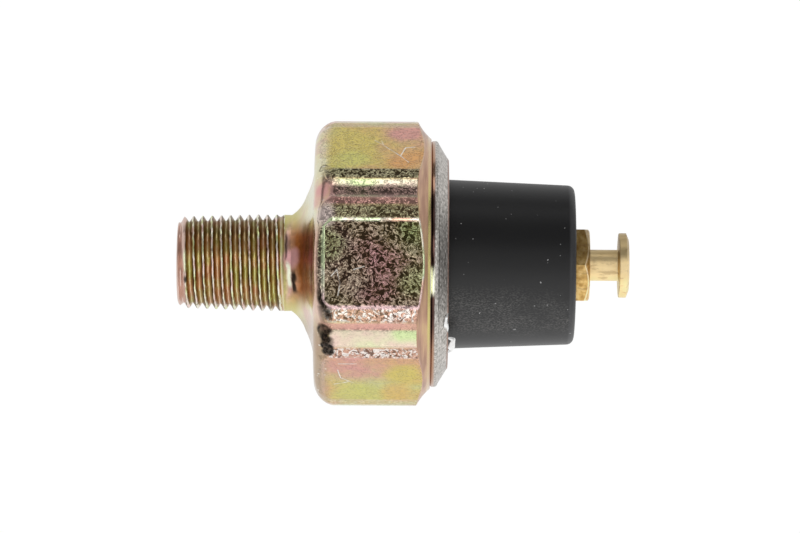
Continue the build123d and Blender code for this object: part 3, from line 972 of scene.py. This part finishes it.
swarf, tree, shader = new_material("bare_sliver", 0.3, 1.0)
tone = ramp(noise(tree, 1800, detail=2), [(0.35, (0.88, 0.87, 0.86)), (0.65, (0.98, 0.98, 0.97))])
tree.links.new(tone, shader.inputs["Base Color"])
bump(shader, noise(tree, 4000), 0.001 * MM)
short_path = [
    (26.5, -4.75, 10.45),
    (26.4, -5.3, 10.85),
    (26.35, -5.9, 10.92),
    (26.4, -6.3, 10.85),
    (26.52, -6.6, 10.45),
]
short_sliver = ribbon("short_sliver", short_path, (0.14, 0.38, 0.46, 0.38, 0.12), 0.13)
hook_path = [
    (26.5, -7.15, 10.2),
    (26.9, -7.25, 10.1),
    (27.15, -7.3, 10.0),
    (27.0, -7.65, 9.9),
    (26.9, -8.1, 9.9),
    (26.75, -8.45, 10.05),
    (26.45, -8.6, 10.3),
]
hook_sliver = ribbon("hooked_sliver", hook_path, (0.16, 0.36, 0.34, 0.50, 0.72, 0.62, 0.2), 0.11)
for sliver in (short_sliver, hook_sliver):
    sliver.data.materials.append(swarf)
    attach(sliver, "housing")


# Seal ring and terminal seal: black rubber rings, moulded. One lies under the diaphragm in the
# groove of the cup, and one is held round the shank in a pocket of the insulator.
def dress(node, material):
    """Gives a CAD node a finished material."""
    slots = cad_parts[node].data.materials
    slots.clear()
    slots.append(material)


def mottled(name, roughness, metallic, scale, dark, light, stretch=(1, 1, 1), grain=None):
    """A material of two tones. Its grain is (waves per metre, height in millimetres)."""
    material, tree, shader = new_material(name, roughness, metallic)
    tone = ramp(noise(tree, scale, stretch=stretch), [(0.3, dark), (0.7, light)])
    tree.links.new(tone, shader.inputs["Base Color"])
    if grain:
        bump(shader, noise(tree, grain[0]), grain[1] * MM)
    return material


dark_rubber = (0.02, 0.02, 0.02)
rubber = mottled("seal_rubber", 0.6, 0.0, 900, dark_rubber, (0.04, 0.04, 0.04), grain=(4000, 0.005))
dress("seal_ring", rubber)
dress("terminal_seal", rubber)


# Diaphragm: a disc punched from amber polyimide film. Its edge is clamped between the seal ring
# and the ground plate, and the oil presses on its middle.
film = mottled("diaphragm_film", 0.25, 0.0, 300, (0.55, 0.30, 0.05), (0.62, 0.36, 0.08))
dress("diaphragm", film)


# Ground plate: a steel disc, pressed and left bright. Its rim is clamped on the ledge of the body,
# which earths it, and the moving contact rests on its raised middle.
bright, pale = (0.55, 0.55, 0.55), (0.66, 0.66, 0.65)
bright_steel = mottled("plain_steel", 0.32, 1.0, 700, bright, pale, (1, 1, 6), (5000, 0.003))
dress("ground_plate", bright_steel)


# Contact spring: a coil of drawn steel wire that holds the moving contact down. It stands on the
# contact round its boss, bears on the nut round the end of the shank, and shortens when the
# contact lifts.
spring_low, spring_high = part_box("contact_spring")
wire_radius = 0.3 * MM
spring_sizes = {
    "Coils": 5.0,
    "Coil Radius": (spring_high.z - spring_low.z) / 2 - wire_radius,
    "Height": spring_high.x - spring_low.x - 2 * wire_radius,
    "Wire Radius": wire_radius,
    "First Coil": spring_low.x + wire_radius,
    "Axis Height": axis_height * MM,
}
coil_tree, inputs = geometry_tree("wind_coil", spring_sizes, takes_mesh=False)
spiral = output(coil_tree, "GeometryNodeCurveSpiral", {
    "Resolution": 32,
    "Rotations": inputs["Coils"],
    "Start Radius": inputs["Coil Radius"],
    "End Radius": inputs["Coil Radius"],
    "Height": inputs["Height"],
})
wire = {"Resolution": 16, "Radius": inputs["Wire Radius"]}
wire = output(coil_tree, "GeometryNodeCurvePrimitiveCircle", wire)
drawn_wire = {"Fill Caps": True, "Curve": spiral, "Profile Curve": wire}
drawn_wire = output(coil_tree, "GeometryNodeCurveToMesh", drawn_wire)
middle = {0: inputs["First Coil"], 2: inputs["Axis Height"]}
middle = output(coil_tree, "ShaderNodeCombineXYZ", middle)
laid_down = {"Geometry": drawn_wire, "Translation": middle, "Rotation": (0, radians(90), 0)}
end_tree(inputs, output(coil_tree, "GeometryNodeTransform", laid_down))
dark, light = (0.42, 0.42, 0.43), (0.56, 0.56, 0.56)
spring_wire = mottled("spring_wire", 0.28, 1.0, 1200, dark, light, (6, 1, 1), (6000, 0.002))
coil = put("wound_spring", bpy.data.meshes.new("wound_spring"))
bake(coil, coil_tree, spring_sizes, spring_wire)
finish_surface(coil, 40)
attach(coil, "housing")
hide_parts("contact_spring")
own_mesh(coil)


# Flange gasket: a ring punched from brown-grey fibre. The rolled lip clamps it between the
# insulator's flange and the rim of the ground plate.
dress("flange_gasket", mottled("gasket_fibre", 0.85, 0.0, 1500, (0.16, 0.13, 0.11), (0.26, 0.22, 0.19)))


# Pusher: a small pin with a head, moulded in white plastic. The head rests on the diaphragm, and
# the stem lifts the contact through the hole of the ground plate.
dress("pusher", mottled("white_moulding", 0.5, 0.0, 800, (0.76, 0.74, 0.68), (0.82, 0.80, 0.75)))


# Insulator: one black phenolic moulding. Its flange is under the lip, and its tower carries the
# terminal. It has pale streaks on the side towards the bottom of the picture.
insulator_angles = np.radians(np.arange(0, 360, 3.0))
tower_base_radius = 8.32
tower_top_radius = 7.84
terminal_seat = 38.95
tower_round = 0.7
flange_seat = 19.38
flange_radius = 10.85
flange_top = 24.645
tower_foot = 25.82
chamber_step = 24.98
chamber_roof = 32.45
pocket_floor = 37.75
lower_bore, upper_bore, pocket_radius, shank_hole = 7.0, 5.0, 3.15, 2.05
outline = through(
    (flange_seat, lower_bore),
    ((flange_seat, flange_radius), 2),
    ((flange_top, flange_radius), 2),
    ((tower_foot, tower_base_radius), 3),
    ((lip_end, tower_base_radius), 2),
    ((terminal_seat - tower_round, tower_top_radius), 24),
    ((terminal_seat, tower_top_radius - tower_round), 9, 0.205),
    ((terminal_seat, pocket_radius), 6),
    ((pocket_floor, pocket_radius), 1),
    ((pocket_floor, shank_hole), 1),
    ((chamber_roof, shank_hole), 2),
    ((chamber_roof, upper_bore), 2),
    ((chamber_step, upper_bore), 2),
    ((chamber_step, lower_bore), 1),
    ((flange_seat, lower_bore), 2),
)
moulding = turned_mesh("insulator_moulding", insulator_angles, outline, closed=True)
finish_surface(moulding, 32)
phenolic, tree, shader = new_material("black_moulding", 0.42, 0.0)
station, sideways, _ = part_place(tree)
colour = ramp(noise(tree, 90), [(0.3, (0.005, 0.005, 0.006)), (0.7, (0.009, 0.009, 0.009))])
lower_side = times(fade(sideways, -1.6, -4.0), fade(sideways, -7.4, -6.0))
pale_streaks = fade(noise(tree, 9500, detail=2, stretch=(0.5, 1, 1), turn=-20), 0.42, 0.66)
streaked_patches = fade(noise(tree, 260, detail=4, stretch=(0.5, 1, 1)), 0.38, 0.62)
colour = mix_colour(times(pale_streaks, streaked_patches, lower_side), colour, (0.095, 0.092, 0.087))
rim = between(station, (38.2, 38.45), (38.6, 38.9))
colour = mix_colour(times(rim, 0.8), colour, (0.05, 0.05, 0.053))
gloss = fade(sideways, 2.0, -4.0, 0.28, 0.66)
tree.links.new(gloss, shader.inputs["Specular IOR Level"])
specks = fade(noise(tree, 2600, detail=1), 0.76, 0.80)
colour = mix_colour(specks, colour, (0.5, 0.5, 0.5))
tree.links.new(colour, shader.inputs["Base Color"])
bump(shader, noise(tree, 3000, detail=3), 0.006 * MM)
moulding.data.materials.append(phenolic)
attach(moulding, "housing")
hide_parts("insulator")


# Terminal stud: one turned brass piece. Its hexagon sits on the insulator, its neck and round
# head take the push-on connector, and its shank runs down to the nut inside.
stud_marks = np.array([0, 4, 8, 12, 16, 20, 24, 27, 29, 30], float)
stud_sector = np.concatenate([stud_marks, 60 - stud_marks[-2:0:-1]])
stud_angles = np.radians(np.concatenate([stud_sector + 60 * k + 30 for k in range(6)]))
stud_from_flat = np.abs((np.degrees(stud_angles) % 60) - 30)
stud_apothem = 3.5
stud_hexagon = stud_apothem / np.cos(np.radians(stud_from_flat))
stud_corner = stud_apothem / cos(radians(30))
hexagon_top = 40.45
head_start = 43.35
part_end = 44.32
neck = 1.53
head = 3.175
shank_end, shank_radius, shank_chamfer = 28.85, 2.0, 0.3
rings = through(
    (shank_end, 0),
    ((shank_end, shank_radius - shank_chamfer), 1),
    ((shank_end + shank_chamfer, shank_radius), 1),
    ((terminal_seat, shank_radius), 2),
)
seat_soft = 0.03
rings += [(terminal_seat, shank_radius), (terminal_seat, stud_hexagon - seat_soft)]
rings.append((terminal_seat + seat_soft, stud_hexagon))
cone_top = 3.35
cone_foot = hexagon_top - 0.5
cone_share = (stud_corner - stud_hexagon) / (stud_corner - cone_top)
meet = cone_foot + (hexagon_top - cone_foot) * cone_share
for k in range(7):
    rise = (meet - seat_soft - terminal_seat) * (k + 1) / 7
    rings.append((terminal_seat + seat_soft + rise, stud_hexagon))
meet_ring = len(rings) - 1
for k in range(1, 4):
    rings.append((meet + (hexagon_top - meet) * k / 3, stud_hexagon + (cone_top - stud_hexagon) * k / 3))
foot_round, root_round, head_round = 0.07, 0.2, 0.075
rings += through(
    (hexagon_top, cone_top - 0.1),
    ((hexagon_top, neck + foot_round), 4),
    ((hexagon_top + foot_round, neck), 3, -0.02),
    ((head_start - root_round, neck), 10),
    ((head_start, neck + root_round), 5, -0.058),
    ((head_start, head - head_round), 4),
    ((head_start + head_round, head), 3, 0.02),
    ((part_end - 0.25, head), 4),
    ((part_end, head - 0.6), 4),
    ((part_end, 0), 4),
)
rings.append((part_end, 0))
stud = turned_mesh("terminal_stud_brass", stud_angles, rings, closed=False)
points_round = len(stud_angles)
first_point = 1 + (meet_ring - 1) * points_round
# A line painted as the highlight along the edge where the hexagon's flats meet its chamfer.
edge_highlight_line = np.zeros(len(stud.data.vertices), np.float32)
edge_highlight_line[first_point : first_point + points_round] = 1.0
stud.data.attributes.new("edge_highlight_line", "FLOAT", "POINT").data.foreach_set("value", edge_highlight_line)
finish_surface(stud, 28)
brass, tree, shader = new_material("brass", 0.42, 1.0)
station, sideways, _ = part_place(tree)
colour = ramp(noise(tree, 500, detail=3), [(0.3, (0.80, 0.61, 0.32)), (0.7, (0.88, 0.70, 0.40))])
tarnish_and_shade = ramp(noise(tree, 1900, detail=3), [
    (0.36, (0.46, 0.27, 0.09)),
    (0.50, (0.62, 0.40, 0.14)),
    (0.64, (0.78, 0.55, 0.24)),
])
# Painted shade: the tarnished hexagon darker towards the top of the picture.
tarnish_and_shade = tinted(tarnish_and_shade, fade(sideways, 0.1, -0.1, 0.72, 1.0))
outer = fade(station, hexagon_top - 0.2, hexagon_top, 1.0, 0.0)
edge_highlight_share = fade(attribute(tree, "edge_highlight_line"), 0.2, 0.7, 0.0, 0.75)
tarnish_and_shade = mix_colour(edge_highlight_share, tarnish_and_shade, (1.0, 0.84, 0.56))
colour = mix_colour(outer, colour, tarnish_and_shade)
stains = fade(noise(tree, 2200, detail=3, stretch=(0.4, 1, 1)), 0.52, 0.70)
colour = mix_colour(times(stains, 0.45), colour, (0.34, 0.22, 0.10))
# Painted light and shade: the brass lighter towards the bottom of the picture and darker towards the top.
painted_side_light = ramp(fade(sideways, -1.6, 1.6, smooth=False), [
    (0.0, (1.3, 1.3, 1.25)),
    (0.30, (1.12, 1.12, 1.12)),
    (0.60, (1.15, 1.15, 1.15)),
    (0.85, (0.68, 0.66, 0.62)),
])
tree.links.new(tinted(colour, painted_side_light), shader.inputs["Base Color"])
drawing_marks = noise(tree, 2500, stretch=(0.15, 1, 1))
blotches = times(noise(tree, 1500, detail=2), outer, 1.5)
bump(shader, plus(drawing_marks, blotches), 0.011 * MM)
stud.data.materials.append(brass)
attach(stud, "housing")
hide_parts("terminal_stud")


# Moving contact, washer and nut: turned from the same brass as the stud. The nut pulls the stud
# down on the insulator with the washer under it, and the contact lies loose on the ground plate.
for node in ("moving_contact", "terminal_washer", "terminal_nut"):
    dress(node, brass)


# Floor and softbox: a plain white table, lit by a wide softbox low at the bottom of the picture.
# In reflections the floor's glow is painted a little darker on the side away from the softbox, a
# painted shadow of the part, and the white sheet ends a little beyond the part on that side.
floor_mesh = bpy.data.meshes.new("floor")
reach = 0.8
floor_corners = [(-reach, -reach, 0), (reach, -reach, 0), (reach, reach, 0), (-reach, reach, 0)]
floor_mesh.from_pydata(floor_corners, [], [(0, 1, 2, 3)])
floor = put("floor", floor_mesh)
table_white, tree, shader = new_material("table_white", 0.9, 0.0)
shader.inputs["Base Color"].default_value = (0.85, 0.85, 0.85, 1)
sideways = part_place(tree)[1]
sheet_and_painted_shadow = times(fade(sideways, -10, 20, 1.0, 0.86), fade(sideways, 55, 75, 1.0, 0.1))
path = tree.nodes.new("ShaderNodeLightPath").outputs
strength = link_math("MAXIMUM", sheet_and_painted_shadow, times(path["Is Camera Ray"], 1.04))
glow = output(tree, "ShaderNodeEmission", {"Strength": strength})
seen = link_math("MAXIMUM", path["Is Camera Ray"], times(path["Is Glossy Ray"], 0.9))
seen = times(link_math("MAXIMUM", seen, path["Is Transmission Ray"]), 0.95)
blend = output(tree, "ShaderNodeMixShader", {0: seen, 1: shader.outputs[0], 2: glow})
tree.links.new(blend, tree.nodes["Material Output"].inputs["Surface"])
floor_mesh.materials.append(table_white)

softbox_data = bpy.data.lights.new("softbox", "AREA")
softbox_data.shape = "RECTANGLE"
softbox_data.size = 0.9
softbox_data.size_y = 0.42
softbox_radiance = 0.97
softbox_data.energy = softbox_radiance * pi * softbox_data.size * softbox_data.size_y
softbox = put("softbox", softbox_data)
softbox.location = (0.0, -0.6, 0.24)
softbox.rotation_euler = (-softbox.location).to_track_quat("-Z", "Y").to_euler()


# Room: pale bands by the angle from straight up, towards the top of the picture or the bottom. It
# is dark round the camera and to both sides, and the camera itself sees plain white.
world = bpy.data.worlds.new("room")
bpy.context.scene.world = world
world.use_nodes = True
tree = world.node_tree
direction = tree.nodes.new("ShaderNodeTexCoord").outputs["Generated"]
along, across, up = add_node(tree, "ShaderNodeSeparateXYZ", {0: direction}).outputs
swing = link_math("ARCTAN2", across, up)
swing = plus(link_math("DIVIDE", swing, 2 * pi), 0.5)
room_bands = [
    (-180, 0.6), (-100, 0.85), (-90, 0.9), (-85, 0.1), (-52, 0.1), (-46, 0.8), (-30, 1.1),
    (-16, 1.4), (-10, 0.6), (9, 0.6), (13, 1.7), (22, 1.7), (26, 0.12), (40, 0.2), (45, 0.5),
    (51, 0.4), (55, 0.15), (92, 0.15), (112, 0.2), (120, 0.6), (180, 0.6),
]
sky = ramp(swing, [((angle + 180) / 360, (level, level, level)) for angle, level in room_bands])
aside = link_math("ABSOLUTE", along)
strip = between(swing, (0.5 + 69 / 360, 0.5 + 73 / 360), (0.5 + 86 / 360, 0.5 + 90 / 360))
strip = times(strip, fade(aside, 0.22, 0.36, 1.0, 0.0))
sky = mix_colour(strip, sky, (1.7, 1.7, 1.7))
off_softbox = fade(across, -0.7, -0.35)
above_horizon = fade(up, 0.0, 0.35)
side_share = times(fade(aside, 0.12, 0.4), off_softbox, above_horizon, 0.85)
from_upright = link_math("ABSOLUTE", minus(swing, 0.5))
side_level = fade(from_upright, 35 / 360, 60 / 360, 0.24, 0.62)
sky = mix_colour(side_share, sky, side_level)
far_aside = times(fade(aside, 0.5, 0.65), fade(from_upright, 42 / 360, 58 / 360))
sky = mix_colour(far_aside, sky, (0.66, 0.66, 0.66))
glow_end = fade(along, -0.1, 0.1, 0.37, 0.75)
near_middle = fade(link_math("ABSOLUTE", across), 0.16, 0.3, 1.0, 0.0)
edge_glow = times(fade(aside, 0.15, 0.19), link_math("LESS_THAN", aside, glow_end), near_middle)
edge_glow = times(edge_glow, above_horizon)
sky = mix_colour(edge_glow, sky, (1.3, 1.3, 1.3))
dark_spot = fade(length_of(aside, across), 0.10, 0.17, 1.0, 0.0)
dark_spot = times(dark_spot, link_math("GREATER_THAN", up, 0.0))
sky = mix_colour(dark_spot, sky, (0.05, 0.05, 0.05))
seen = tree.nodes.new("ShaderNodeLightPath").outputs
sky = mix_colour(seen["Is Camera Ray"], sky, white)
tree.links.new(sky, tree.nodes["Background"].inputs["Color"])
tree.nodes["Background"].inputs["Strength"].default_value = 1.0
bpy.context.scene.view_settings.view_transform = "Standard"
